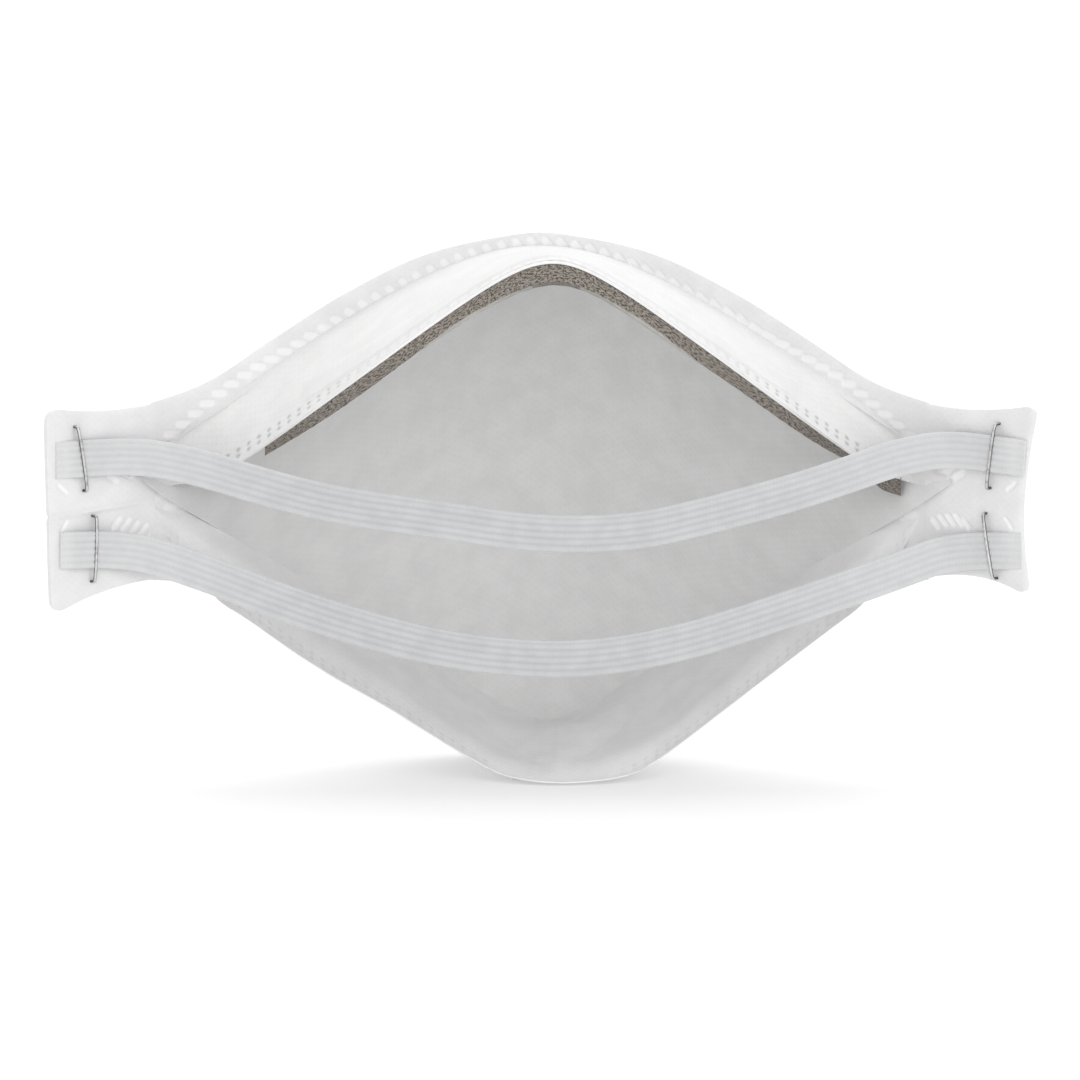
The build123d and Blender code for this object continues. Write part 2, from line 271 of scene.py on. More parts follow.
def sheet_piece(name, face, back, uv, material, press_and_painted_light=0.0, dots=0.0):
    """A closed sheet between two grids of points; press and dots are masks."""
    rows, cols = face.shape[:2]
    count = rows * cols
    index = np.arange(count).reshape(rows, cols)
    quads = np.stack([index[:-1, :-1], index[:-1, 1:], index[1:, 1:], index[1:, :-1]], -1).reshape(-1, 4)
    loop = np.concatenate([index[0, :-1], index[:-1, -1], index[-1, :0:-1], index[:0:-1, 0]])
    after = np.roll(loop, -1)
    rim = np.stack([after, loop, loop + count, after + count], 1)
    faces = np.concatenate([quads, quads[:, ::-1] + count, rim]).tolist()
    points = to_frame(np.concatenate([face.reshape(-1, 3), back.reshape(-1, 3)]))
    masks = {"press_and_painted_light": press_and_painted_light, "dots": dots}
    masks = {k: np.tile(np.broadcast_to(v, (rows, cols)).ravel(), 2) for k, v in masks.items()}
    return make_object(name, points, faces, np.tile(uv.reshape(-1, 2), (2, 1)), material, masks, 40.0)


def tube_uv(along, around):
    """Surface coordinates of a tube, from the runs along it and round it."""
    shape = (len(along), len(around))
    return np.stack([np.broadcast_to(along[:, None], shape), np.broadcast_to(around[None], shape)], -1)


def tube_piece(name, rings, uv, material, masks, sharp=50.0):
    """A closed tube through rings of points, with flat ends."""
    count, around = rings.shape[:2]
    index = np.arange(count * around).reshape(count, around)
    turn = np.roll(index, -1, 1)
    sides = np.stack([index[:-1], turn[:-1], turn[1:], index[1:]], -1).reshape(-1, 4).tolist()
    faces = sides + [index[0][::-1].tolist(), index[-1].tolist()]
    points = to_frame(rings.reshape(-1, 3))
    masks = {k: np.broadcast_to(v, (count, around)) for k, v in masks.items()}
    return make_object(name, points, faces, uv.reshape(-1, 2), material, masks, sharp)


# --- materials ---
class Shader:
    """A material's node tree, with short calls to add nodes and links."""

    def __init__(self, name):
        self.material = bpy.data.materials.new(name)
        self.material.use_nodes = True
        self.tree = self.material.node_tree
        self.tree.nodes.clear()
        self.surface = self.add("ShaderNodeBsdfPrincipled")
        output = self.add("ShaderNodeOutputMaterial")
        self.tree.links.new(self.surface.outputs[0], output.inputs["Surface"])

    def connect(self, socket, value):
        """Links another node's socket to this one, or sets its value."""
        if isinstance(value, bpy.types.NodeSocket):
            self.tree.links.new(value, socket)
        else:
            socket.default_value = value

    def add(self, kind, inputs=None, **props):
        node = self.tree.nodes.new(kind)
        for key, value in props.items():
            setattr(node, key, value)
        for key, value in (inputs or {}).items():
            self.connect(node.inputs[key], value)
        return node

    def set(self, **inputs):
        """Sets the surface's own sockets, and gives the material."""
        for key, value in inputs.items():
            self.connect(self.surface.inputs[key.replace("_", " ")], value)
        return self.material

    def surface_mm(self, scale=(1, 1, 1), turn=0.0):
        """The piece's own surface coordinates, in millimetres."""
        uv = self.add("ShaderNodeUVMap", uv_map="surface")
        placing = {"Vector": uv.outputs[0], "Scale": scale, "Rotation": (0, 0, turn)}
        return self.add("ShaderNodeMapping", placing).outputs[0]

    def noise(self, vector, scale, detail=3.0, roughness=0.55):
        grain = {"Vector": vector, "Scale": scale, "Detail": detail, "Roughness": roughness}
        return self.add("ShaderNodeTexNoise", grain).outputs["Fac"]

    def knit(self, lean):
        """Wavy rows of stitches, leaning one way across an elastic."""
        rows = {"Vector": self.surface_mm((1, math.copysign(0.35, lean), 1), lean), "Scale": 0.48,
                "Distortion": 1.4, "Detail": 2.0, "Detail Scale": 2.0}
        return self.add("ShaderNodeTexWave", rows, bands_direction="X").outputs["Fac"]

    def ramp(self, value, low, high, to_low=0.0, to_high=1.0):
        limits = {"Value": value, "From Min": low, "From Max": high, "To Min": to_low, "To Max": to_high}
        return self.add("ShaderNodeMapRange", limits, interpolation_type="SMOOTHSTEP").outputs["Result"]

    def math(self, operation, a, b):
        return self.add("ShaderNodeMath", {0: a, 1: b}, operation=operation).outputs[0]

    def times(self, a, b):
        return self.math("MULTIPLY", a, b)

    def mask(self, name):
        return self.add("ShaderNodeAttribute", attribute_name=name).outputs["Fac"]

    def blend_colour(self, factor, a, b):
        return self.add("ShaderNodeMix", {0: factor, 6: a, 7: b}, data_type="RGBA").outputs[2]

    def bumps(self, height, strength, distance):
        relief = {"Height": height, "Strength": strength, "Distance": distance}
        return self.add("ShaderNodeBump", relief).outputs["Normal"]


def grey(value, warm=0.0):
    return (value * (1 + warm), value, value * (1 - warm), 1.0)


def nonwoven(name, tone, bond_depth, cloud, warm=0.0):
    """Spunbond web: matt fibres, small pressed bond points and cloudy thickness."""
    shader = Shader(name)
    diamonds = shader.surface_mm((0.78, 1.05, 1), math.radians(45))
    cells = shader.add("ShaderNodeTexVoronoi", {"Vector": diamonds, "Scale": 1.0, "Randomness": 0.10})
    bond = shader.ramp(cells.outputs["Distance"], 0.06, 0.40, 1.0, 0.0)
    clouds = shader.noise(shader.surface_mm(), 0.16, 4.0, 0.62)
    fibres = shader.noise(shader.surface_mm((1.0, 5.0, 1), 0.6), 1.9, 4.0, 0.7)
    strands = shader.noise(shader.surface_mm((6.0, 1.1, 1), -0.35), 1.6, 4.0, 0.7)
    fuzz = shader.times(shader.math("ADD", fibres, strands), 0.5)
    thin, thick = grey(tone * (1 - cloud), warm), grey(tone * (1 + cloud * 0.6), warm)
    base = shader.blend_colour(shader.ramp(clouds, 0.32, 0.68), thin, thick)
    base = shader.blend_colour(shader.times(bond, 0.12), base, grey(tone * 0.80, warm))
    base = shader.blend_colour(shader.ramp(fuzz, 0.36, 0.62, 0.0, 0.10), base, grey(tone * 0.86, warm))
    # the mask brightens and smooths pressed welds; on the bottom flap it is painted light along the chin's
    # lip
    press_and_painted_light = shader.mask("press_and_painted_light")
    base = shader.blend_colour(press_and_painted_light, base, grey(min(tone * 1.22, 0.93), warm))
    base = shader.blend_colour(shader.mask("dots"), base, grey(tone * 0.42))
    matt = shader.ramp(fuzz, 0.3, 0.7, 0.78, 0.94)
    rough = shader.math("SUBTRACT", matt, shader.times(press_and_painted_light, 0.42))
    bonded = shader.times(bond, bond_depth)
    relief = shader.math("SUBTRACT", shader.times(fuzz, 0.55), bonded)
    loose = shader.math("SUBTRACT", 1.0, shader.times(press_and_painted_light, 0.85))
    normal = shader.bumps(shader.times(relief, loose), 0.45, 0.00014)
    shader.set(Base_Color=base, Roughness=rough, Normal=normal)
    return shader.set(Sheen_Weight=0.22, Sheen_Roughness=0.6, Specular_IOR_Level=0.32)


def foam_material():
    """Open-cell foam: slanting pores painted near-black as shade, between lighter struts, with a paler
    skin.
    """
    shader = Shader("nose_foam")
    slant = math.radians(38)
    pores = shader.noise(shader.surface_mm((1.0, 2.1, 1), slant), 1.75, 2.5, 0.65)
    fine = shader.noise(shader.surface_mm((1.0, 1.8, 1), slant), 4.5, 3.0, 0.7)
    patches = shader.noise(shader.surface_mm(), 0.22, 3.0, 0.6)
    # painted shade: the near-black pores, and in part the darker gaps between struts, stand for shade in
    # the open cells
    pore_shade = shader.ramp(pores, 0.43, 0.53, 1.0, 0.0)
    strut, gap = (0.44, 0.40, 0.352, 1), (0.20, 0.174, 0.147, 1)
    tone = shader.blend_colour(shader.ramp(fine, 0.35, 0.65), gap, strut)
    tone = shader.blend_colour(shader.ramp(patches, 0.35, 0.7, 0.0, 0.25), tone, (0.36, 0.33, 0.29, 1))
    tone = shader.blend_colour(shader.times(pore_shade, 0.84), tone, (0.050, 0.043, 0.038, 1))
    tone = shader.blend_colour(shader.mask("press_and_painted_light"), tone, (0.47, 0.46, 0.43, 1))
    solid = shader.math("SUBTRACT", 1.0, shader.times(pore_shade, 0.9))
    height = shader.math("ADD", shader.times(solid, 0.7), shader.times(fine, 0.3))
    shader.set(Base_Color=tone, Roughness=0.95, Normal=shader.bumps(height, 0.7, 0.0003))
    return shader.set(Sheen_Weight=0.15, Specular_IOR_Level=0.2)


def elastic_material():
    """Knitted elastic: crossing rows of stitches, and painted shade in the grooves between its ribs."""
    shader = Shader("elastic")
    stitch = shader.times(shader.knit(0.5), shader.knit(-0.5))
    wear = shader.noise(shader.surface_mm(), 0.25, 3.0)
    worn, clean = (0.515, 0.524, 0.53, 1), (0.565, 0.573, 0.578, 1)
    tone = shader.blend_colour(shader.ramp(wear, 0.3, 0.7), worn, clean)
    # painted shade: the grooves between the ribs are darkened
    groove = shader.times(shader.mask("press_and_painted_light"), 0.34)
    tone = shader.blend_colour(groove, tone, (0.36, 0.375, 0.385, 1))
    tone = shader.blend_colour(shader.ramp(stitch, 0.05, 0.5, 0.08, 0.0), tone, (0.44, 0.45, 0.46, 1))
    tone = shader.blend_colour(shader.mask("dots"), tone, (0.70, 0.70, 0.70, 1))
    shader.set(Base_Color=tone, Roughness=0.72, Normal=shader.bumps(stitch, 0.25, 0.0001))
    return shader.set(Sheen_Weight=0.3, Sheen_Roughness=0.4, Specular_IOR_Level=0.35)


def metal_material(name, rough, scratch):
    """Drawn metal with lengthwise scratches, small tarnished patches and painted shade where its mask is
    set.
    """
    shader = Shader(name)
    tone = 0.62
    coords = shader.add("ShaderNodeTexCoord").outputs["Object"]
    stretched = shader.add("ShaderNodeMapping", {"Vector": coords, "Scale": scratch}).outputs[0]
    lines = shader.noise(stretched, 1.0, 3.0, 0.6)
    patches = shader.noise(coords, 900.0, 3.0, 0.6)
    colour = shader.blend_colour(shader.ramp(patches, 0.42, 0.7), grey(tone), grey(tone * 0.6, 0.04))
    # painted shade: darker where the mask is set, on the sides of a staple's wire
    colour = shader.blend_colour(shader.mask("press_and_painted_light"), colour, grey(tone * 0.16, 0.05))
    shader.set(Base_Color=colour, Roughness=shader.ramp(lines, 0.3, 0.7, rough, rough + 0.2), Metallic=1.0)
    return shader.set(Normal=shader.bumps(lines, 0.25, 0.00004))


outer_cloth = nonwoven("outer_cover", 0.72, 0.60, 0.035, 0.004)
inner_cloth = nonwoven("inner_cover", 0.715, 0.32, 0.045, 0.004)
# painted light: a lighter copy of the inner cover, for the bottom flap's inner web
chin_cloth_painted_light = nonwoven("chin_inner_cover_painted_light", 0.77, 0.32, 0.045)
filter_cloth = nonwoven("filter_media", 0.84, 0.1, 0.06)
stiff_cloth = nonwoven("stiff_web", 0.78, 0.9, 0.05)
laminate = nonwoven("welded_laminate", 0.76, 0.20, 0.04)
foam_stuff = foam_material()
elastic = elastic_material()
clip_metal = metal_material("clip_metal", 0.32, (30, 2600, 2600))
staple_metal = metal_material("staple_wire", 0.24, (2200, 2200, 160))

CLOTH_SLOTS = {
    "outer_web": (outer_cloth, "outer_cover"),
    "inner_web": (inner_cloth, "inner_cover"),
    "filter": (filter_cloth, "filter_media"),
    "stiffener": (stiff_cloth, "stiff_web"),
}


# --- centre panel ---
INNER_OVERRUN = 1.5  # how far the inner web runs on past each seam
INNER_REACH = 76.8  # and onto each tab
PANEL_REACH = CORNER_X + 0.6
CREASE_SPOT = (27.0, 12.0)  # x and height that the faint standing crease passes


def standing_crease(spread, height):
    """A faint crease, from below the upper seam towards the middle of the panel."""
    offset = spread - CREASE_SPOT[0] + 0.28 * (height - CREASE_SPOT[1])
    return 0.5 * np.exp(-((offset / 1.1) ** 2)) * bump(height - 22.0, 6.0, 9.0)


def centre_layer(layer, near, far, step, rows):
    """One web of the centre panel, between two depths below its outer face."""
    inner = layer == "inner_web"
    reach = INNER_REACH if inner else PANEL_REACH
    x = np.linspace(-reach, reach, int(2 * reach / step))
    arc = arc_through(upper_seam(x), front(x), lower_seam(x))
    length = arc_length(arc)[:, None]
    over = (INNER_OVERRUN if inner else 0.0) / length
    share = np.linspace(0, 1, rows)[None, :] * (1 + 2 * over) - over
    run = share * length
    spread = np.broadcast_to(x[:, None], run.shape)
    free = smoothstep(np.minimum(share, 1 - share) * length, 1.0, 12.0)
    push = 0.45 * ripple(spread, run, 0.9) * free
    push = push + standing_crease(spread, upper_seam(x)[:, 1][:, None] - run)
    face = on_arc(arc, x, share, near * pinch(x)[:, None] + push)
    back = on_arc(arc, x, share, far * pinch(x)[:, None] + push)
    for grid in (face, back):
        grid[..., 1] += 0.7 * smoothstep(np.abs(spread), 73.5, INNER_REACH)
    material, slot = CLOTH_SLOTS[layer]
    uv = np.stack([spread, run], -1)
    piece = sheet_piece(f"centre_panel_{layer}_cloth", face, back, uv, material)
    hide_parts(f"centre_panel_{layer}")
    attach(piece, "shell")


centre_layer("outer_web", 0.0, 0.3, 1.2, 90)
centre_layer("filter", 0.4, 1.1, 3.0, 40)
centre_layer("stiffener", 1.2, 1.6, 3.0, 40)
centre_layer("inner_web", 1.7, 2.0, 0.9, 110)


# --- top and bottom flaps ---
DOT_PITCH = 2.35
DOT_ROWS = (1.5, 2.7)  # from the free edge
DOT_DEPTH = 0.16
DOT_TINT = 0.5  # how dark the weld dots are
DOT_END_X = 68.0  # half length of the rows of dots
NOSE_SQUEEZE = 0.38  # share of its thickness that a flap keeps at its free edge
CHIN_SQUEEZE = 0.15
CHIN_CREASE = (3.4, 4.5)  # x and distance from the free edge of the crease's point
FINE_DEPTH = 4.6  # the grid is finer this near to the free edge
TURN_FORWARDS = 2.3  # where a flap turns into its seam
FLAP_REACH = {"top_panel": 78.0, "bottom_panel": 77.0}
FLAP_LAYERS = (("outer_web", 0.0, 0.3, 0.25), ("filter", 0.33, 1.75, 2.0), ("inner_web", 1.8, 2.1, 0.25))
# each flap's body, and where the cloth's bend from the shell to it starts and ends
FLAPS = {
    "top_panel": ("top_flap", (0, 0.0186, 0.0948), (0, -0.0066, 0.1181)),
    "bottom_panel": ("bottom_flap", (0, 0.0166, 0.0054), (0, -0.0123, -0.0131)),
}


def weld_dots(along, from_edge):
    """1 inside the two rows of small weld points that follow a flap's free edge."""
    phase = (along / DOT_PITCH) % 1.0 - 0.5
    dots = np.zeros(from_edge.shape)
    for row in DOT_ROWS:
        radius = np.hypot(phase * DOT_PITCH, (from_edge - row) * 1.1)
        dots = np.maximum(dots, 1 - smoothstep(radius, 0.28, 0.60))
    return dots


def flap_dots(top, spread, edge_line, from_edge):
    """The weld dots, faint by the nose and fainter at the chin."""
    along = run_along(edge_line)
    along = (along - along[len(along) // 2])[:, None]
    dots = weld_dots(along, from_edge) * bump(spread, DOT_END_X, 2.5)
    if top:
        return dots * (0.35 + 0.65 * smoothstep(np.abs(spread), 30.0, 46.0))
    return 0.32 * dots * smoothstep(np.abs(spread - 3.5), 11.0, 13.0)


def flap_rows(length):
    """Distances from the free edge, finer near it; rows are stations."""
    fine = np.linspace(0.0, FINE_DEPTH, 24)
    squeeze = np.minimum(1.0, 0.7 * length / FINE_DEPTH)[:, None]
    rest = np.linspace(0, 1, 30)[1:] ** 1.1
    coarse = FINE_DEPTH * squeeze + rest * (length[:, None] - FINE_DEPTH * squeeze)
    return np.concatenate([fine * squeeze, coarse], 1)


def edge_squeeze(from_edge, least):
    """A flap's layers are pressed thinner towards its free edge."""
    return least + (1 - least) * smoothstep(from_edge, 0.2, 8.0)


def over_clip(spread, from_edge):
    """1 over the nose clip, which the sheets give room."""
    return bump(from_edge - 6.5, 2.4, 1.0) * bump(spread - 2.0, 45.0, 2.0)


def chin_crease(spread, from_edge, from_seam):
    """Inside the two arms of the chin's pointed crease, the cloth tilts up."""
    inner = from_edge - CHIN_CREASE[1] - 1.25 * np.abs(spread - CHIN_CREASE[0])
    return 0.20 * soft_floor(inner, 0.0, 0.5) * smoothstep(from_seam, 0.0, 20.0)


def lay_flap(grid, nearness, top, reach, from_edge, from_seam):
    """Turns a flap into its seam, and lays its ends on the tabs, nearer layers on top."""
    spread = grid[..., 0]
    side = np.abs(spread)
    turn = 1 - smoothstep(from_seam, 0.0, 4.0)
    settle = settling(spread)
    sunk = 0.75 * smoothstep(side, reach - 3.5, reach)
    sunk = sunk + 0.6 * bump(from_edge, 0.0, 3.5) * smoothstep(side, 62.0, 70.0)
    grid[..., 1] += TURN_FORWARDS * turn * (1 - settle)
    grid[..., 2] += (0.45 if top else 0.3) * turn * (1 - settle)
    on_tab = tab_back(spread) - 0.9 - 0.45 * nearness + np.maximum(sunk, 1.5 * turn)
    grid[..., 1] += settle * (on_tab - grid[..., 1])


def flap_layer(panel, layer, near, far, step):
    """One web of a flap, between two depths below its outer face."""
    top = panel == "top_panel"
    seam, edge = (upper_seam, nose_edge) if top else (lower_seam, chin_edge)
    reach = FLAP_REACH[panel]
    x = np.linspace(-reach, reach, int(2 * reach / step))
    arc = flap_arc(seam(x), edge(x), 1 if top else -1)
    length = arc_length(arc)
    from_edge = flap_rows(length)
    share = 1 - from_edge / length[:, None]
    from_seam = share * length[:, None]
    spread = np.broadcast_to(x[:, None], share.shape)
    free = smoothstep(np.minimum(from_edge, from_seam), 0.5, 9.0)
    push = 0.35 * ripple(spread, from_seam, 0.8) * free
    dots = pressed = 0.0
    if not top:
        push = push + chin_crease(spread, from_edge, from_seam)
        # painted light: the bottom flap is painted lighter along its free edge at the chin's lip
        pressed = 0.34 * bump(from_edge, 1.0, 5.0) * bump(spread - LIP_X, 12.0, 9.0)
    elif layer == "outer_web":
        push = push - 0.35 * over_clip(spread, from_edge)
    elif layer == "filter":
        near = near + 0.62 * over_clip(spread, from_edge)
    if layer == "filter":
        # thinner under the weld dots, out of the dimples' reach
        thinned = 0.5 * bump(from_edge - np.mean(DOT_ROWS), 1.3, 0.6)
        near, far = near + thinned, far - thinned
    else:
        dots = flap_dots(top, spread, np.stack([x, edge(x)[:, 1]], 1), from_edge)
        push = push + DOT_DEPTH * dots * (1 if layer == "outer_web" else -1)
    squeeze = pinch(x)[:, None] * edge_squeeze(from_edge, NOSE_SQUEEZE if top else CHIN_SQUEEZE)
    face, back = (on_arc(arc, x, share, depth * squeeze + push) for depth in (near, far))
    for grid, depth in ((face, near), (back, far)):
        nearness = 1 - depth / FLAP_THICKNESS if top else depth / FLAP_THICKNESS
        lay_flap(grid, nearness, top, reach, from_edge, from_seam)
    material, slot = CLOTH_SLOTS[layer]
    # painted light: the bottom flap's inner web takes the lighter copy of the inner cover
    if layer == "inner_web" and not top:
        material = chin_cloth_painted_light
    uv = np.stack([spread, from_seam], -1)
    piece = sheet_piece(f"{panel}_{layer}_cloth", face, back, uv, material, pressed, DOT_TINT * dots)
    return piece, face


for panel, (body, fold_start, fold_end) in FLAPS.items():
    for layer, near, far, step in FLAP_LAYERS:
        piece, face = flap_layer(panel, layer, near, far, step)
        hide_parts(f"{panel}_{layer}")
        if layer == "outer_web":
            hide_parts(f"{panel}_ends")
        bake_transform(piece)


# --- nose clip and foam: strips that follow the nose edge ---
FOAM_WIDTH = 8.0
FOAM_THICKNESS = 3.65
FOAM_END_X = 67.6
SKIN_MIDDLE_X = 3.0


def along_nose(x, from_edge, depth):
    """Points at distances from the nose edge and depths below the top flap's outer face."""
    arc = flap_arc(upper_seam(x), nose_edge(x), 1)
    share = 1 - from_edge / arc_length(arc)[:, None]
    return on_arc(arc, x, share, depth)


def rounded_rectangle(width, height, radius, count=7):
    """Points round a rectangle from (0, 0) to (width, height)."""
    corners = []
    for cx, cy, start in (
        (width - radius, radius, -90), (width - radius, height - radius, 0),
        (radius, height - radius, 90), (radius, radius, 180),
    ):
        angle = np.radians(start + 90 * np.linspace(0, 1, count))
        corners.append(np.stack([cx + radius * np.cos(angle), cy + radius * np.sin(angle)], 1))
    return np.concatenate(corners)


def fill_outline(outline, spacing):
    """The same closed outline with more points along its straight runs."""
    points = []
    for a, b in zip(outline, np.roll(outline, -1, 0)):
        n = max(1, int(math.dist(a, b) / spacing))
        points += [a + (b - a) * k / n for k in range(n)]
    return np.array(points)


def nose_clip():
    """A flat metal strip under the top flap's outer web."""
    x = np.linspace(-43.0, 47.0, 120)
    across, thickness = fill_outline(rounded_rectangle(5.0, 0.6, 0.25, 4), 0.8).T
    from_edge = 4.0 + across[None] + np.zeros((len(x), 1))
    rings = along_nose(x, from_edge, (0.35 + thickness) * edge_squeeze(from_edge, NOSE_SQUEEZE))
    clip = tube_piece("nose_clip_strip", rings, tube_uv(x, across), clip_metal, {})
    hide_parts("nose_clip")
    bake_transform(clip)


def nose_foam():
    """A foam strip, whose right end pokes out under the upper strap."""
    x = np.linspace(-51.5, FOAM_END_X, 430)
    section = fill_outline(rounded_rectangle(FOAM_WIDTH, FOAM_THICKNESS, 0.45), 0.3)
    across, thickness = section.T[:, None]
    station = x[:, None]
    taper = 1 - 0.4 * smoothstep(station, 60.0, FOAM_END_X)
    beyond = 2.9 * smoothstep(station, 59.0, 64.5)
    grain = 0.07 * np.sin(station * 3.1 + across * 5.3) * np.sin(thickness * 7.1 + station)
    under_web = 2.12 * pinch(station) * edge_squeeze(across, NOSE_SQUEEZE)
    depth = under_web + thickness * taper * (1 - 0.06 * np.sin(station * 0.21)) + grain
    rings = along_nose(x, across * taper - beyond, depth)
    rings[..., 1] += settling(station) * (tab_back(station) - 1.2 - rings[..., 1])
    # the paler skin wraps round to the lower side beside the apex
    skin_height = 0.85 * np.exp(-(((np.abs(station - SKIN_MIDDLE_X) - 17.5) / 8.5) ** 2))
    skin = smoothstep(thickness + skin_height, 3.55, 3.7) * bump(across - FOAM_WIDTH / 2, 4.2, 0.2)
    skin *= skin_height > 0.08
    foam = tube_piece("nose_foam_pad", rings, tube_uv(x, run_along(section)), foam_stuff, {"press_and_painted_light": skin})
    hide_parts("nose_foam", "nose_foam_end")
    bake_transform(foam)


nose_clip()
nose_foam()


# --- welds: pressed lozenges in the margins ---
WELD_PITCH = 2.8
WELD_SIZE = (3.1, 1.5)
WELD_DEPTH = 0.2
weld_rise = smooth_curve([(0, 1.9), (26, 1.7), (45, 2.4), (57, 3.3), (64, 2.5), (70, 1.5), (73, 1.2)])


def lozenges(u, v, spots):
    """1 inside pressed bars; each spot is (u, v, angle in degrees, length, width)."""
    pressed = np.zeros(np.broadcast(u, v).shape)
    for su, sv, angle, length, width in spots:
        near = (np.abs(u - su) < length) & (np.abs(v - sv) < length)
        if not near.any():
            continue
        a = math.radians(angle)
        du, dv = u - su, v - sv
        lengthwise = np.abs(du * math.cos(a) + dv * math.sin(a)) / (length / 2)
        crosswise = np.abs(dv * math.cos(a) - du * math.sin(a)) / (width / 2)
        shape = (lengthwise**4 + crosswise**4) ** 0.25
        pressed = np.maximum(pressed, (1 - smoothstep(shape, 0.72, 1.12)) * near)
    return pressed


def seam_spots(seam, outwards):
    """Lozenges at an even pitch along a seam."""
    x = np.linspace(-CORNER_X, CORNER_X, 2881)
    line = seam(x)[:, 1] + outwards * weld_rise(np.abs(x))
    run = run_along(np.stack([x, line], 1))
    spots = []
    for distance in np.arange(1.0, run[-1], WELD_PITCH):
        px = float(np.interp(distance, run, x))
        flat_from, flat_to = (36.0, 48.0) if px > 0 else (22.0, 50.0)
        lean = -50 + 44 * float(smoothstep(abs(px), flat_from, flat_to))
        spots.append((px, float(np.interp(px, x, line)), lean * outwards, *WELD_SIZE))
    return spots


def margin_layer(name, seam, cut_edge, outwards):
    """A seam flange, from the seam out to its cut edge."""
    x = np.linspace(-CORNER_X - 0.75, CORNER_X + 0.75, 520)
    seam_y, seam_z = seam(x).T[..., None]
    tip = cut_edge(rounded_abs(x))[:, None]
    if outwards > 0:
        tip = tip + 0.35 * bump(x, 4.0, 20.0)[:, None]
    rise = np.linspace(0, 1, 34)[None, :]
    foot = seam_z - 0.9 * outwards
    z = foot + rise * (tip - foot)
    spread = np.broadcast_to(x[:, None], z.shape)
    to_tab = smoothstep(np.abs(x), 60.0, CORNER_X + 0.5)[:, None]
    lean = seam_y - 0.5 + 1.1 * rise
    middle = lean + to_tab * (tab_back(spread) - lean)
    middle = middle + 0.35 * ripple(spread, z, 0.7) * rise * (1 - to_tab)
    to_cut = np.abs(tip - z)
    pressed = lozenges(spread, z, seam_spots(seam, outwards)) * smoothstep(to_cut, 0.2, 0.7)
    half = (0.48 + 0.27 * to_tab) * (1 - 0.45 * np.exp(-to_cut / 0.6)) - WELD_DEPTH * pressed
    face, back = (np.stack([spread, middle + way * half, z], -1) for way in (-1, 1))
    uv = np.stack([spread, z], -1)
    piece = sheet_piece(f"{name}_margin", face, back, uv, laminate, press_and_painted_light=0.5 * pressed)
    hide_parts(name)
    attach(piece, "shell")


margin_layer("upper_seam", upper_seam, cut_edge_top, 1)
margin_layer("lower_seam", lower_seam, cut_edge_low, -1)


# --- side tabs: (distance from the mouth corner, height) on each tab's own plane ---
UP = np.array([0.0, 0.0, 1.0])
SIDE_NAMES = {-1: "left", 1: "right"}
# each tab's top edge, its waist at the end, and its low edge; an edge is an arc through three points
TAB_OUTLINES = {
    -1: ([(0.5, 19.6), (12, 19.1), (25.3, 20.8)], (24.3, 2.5), [(24.0, -18.8), (12, -14.9), (0.5, -13.6)]),
    1: ([(0.5, 19.6), (12, 19.3), (25.8, 21.4)], (22.3, 2.5), [(24.2, -15.2), (12, -12.2), (0.5, -13.4)]),
}
CORNER_CUT = 3.8  # how far from a corner its rounding starts
TAB_HALF_THICKNESS = 0.75
TAB_SIZE = (24.0, 34.0)  # roughly, for the distance to a tab's cut edges
# x and height as the camera sees them, lean, length and width of each pressed bar on a tab
TAB_WELDS = {
    -1: [
        (-80.2, 5.8, -32, 3.2, 1.3), (-77.8, 6.7, -32, 3.2, 1.3), (-75.2, 7.4, -32, 3.2, 1.3),
        (-79.5, -2.4, 50, 3.3, 1.2), (-77.8, -2.6, 50, 3.4, 1.2), (-76.2, -3.1, 50, 3.3, 1.2),
        (-74.6, -3.6, 48, 3.2, 1.2), (-72.9, -4.1, 45, 3.0, 1.2),
        (-89.5, 3.9, -42, 3.0, 0.8), (-89.1, -3.1, 55, 3.0, 0.9),
    ],
    1: [
        (74.3, 7.8, 30, 3.2, 1.3), (76.7, 7.2, 30, 3.3, 1.4), (78.8, 6.5, 30, 3.4, 1.4),
        (74.5, -2.5, -48, 3.0, 1.2), (75.9, -2.0, -48, 3.3, 1.2), (77.3, -1.85, -48, 3.4, 1.2),
        (78.7, -1.85, -48, 3.4, 1.2), (80.1, -2.5, -48, 3.0, 1.1),
        (88.4, 4.4, 42, 3.0, 0.9), (88.1, -2.5, -48, 3.0, 0.8),
    ],
}
CAMERA_RISE = 0.139  # how far a millimetre of depth lifts a point in the picture
CAMERA_SQUASH = 0.99  # and how tall a millimetre of height looks


def tab_axes(side):
    """A tab's plane: its mouth corner, the way out along it, and its normal."""
    corner = np.array([side * CORNER_X, TAB_MIDDLE_Y, 0.0])
    along = np.array([side * SWEEP_COS, -SWEEP_SIN, 0.0])
    normal = np.array([-side * SWEEP_SIN, -SWEEP_COS, 0.0])
    return corner, along, normal


def arc_points(a, b, c, count=60):
    """Points on the arc from a through b to c."""
    arc = arc_through(*(np.array([p], float) for p in (a, b, c)))
    angle = arc["start"][0] + arc["sweep"][0] * np.linspace(0, 1, count)
    return arc["centre"][0] + arc["radius"][0] * np.stack([np.cos(angle), np.sin(angle)], 1)


def resample(line, count, short=0.0):
    """Evenly spaced points along a line, up to a distance short of its end."""
    run = run_along(line)
    stops = np.linspace(0, run[-1] - short, count)
    return np.stack([np.interp(stops, run, line[:, k]) for k in (0, 1)], 1)


def cut_back(line):
    """The line without what its end's rounding takes."""
    return resample(line, len(line), CORNER_CUT)


def rounded_corner(before, corner, after, count=13):
    """A soft bend round a corner, in two halves."""
    t = np.linspace(0, 1, count)[:, None]
    bend = (1 - t) ** 2 * before + 2 * t * (1 - t) * corner + t**2 * after
    return bend[: count // 2 + 1], bend[count // 2:]


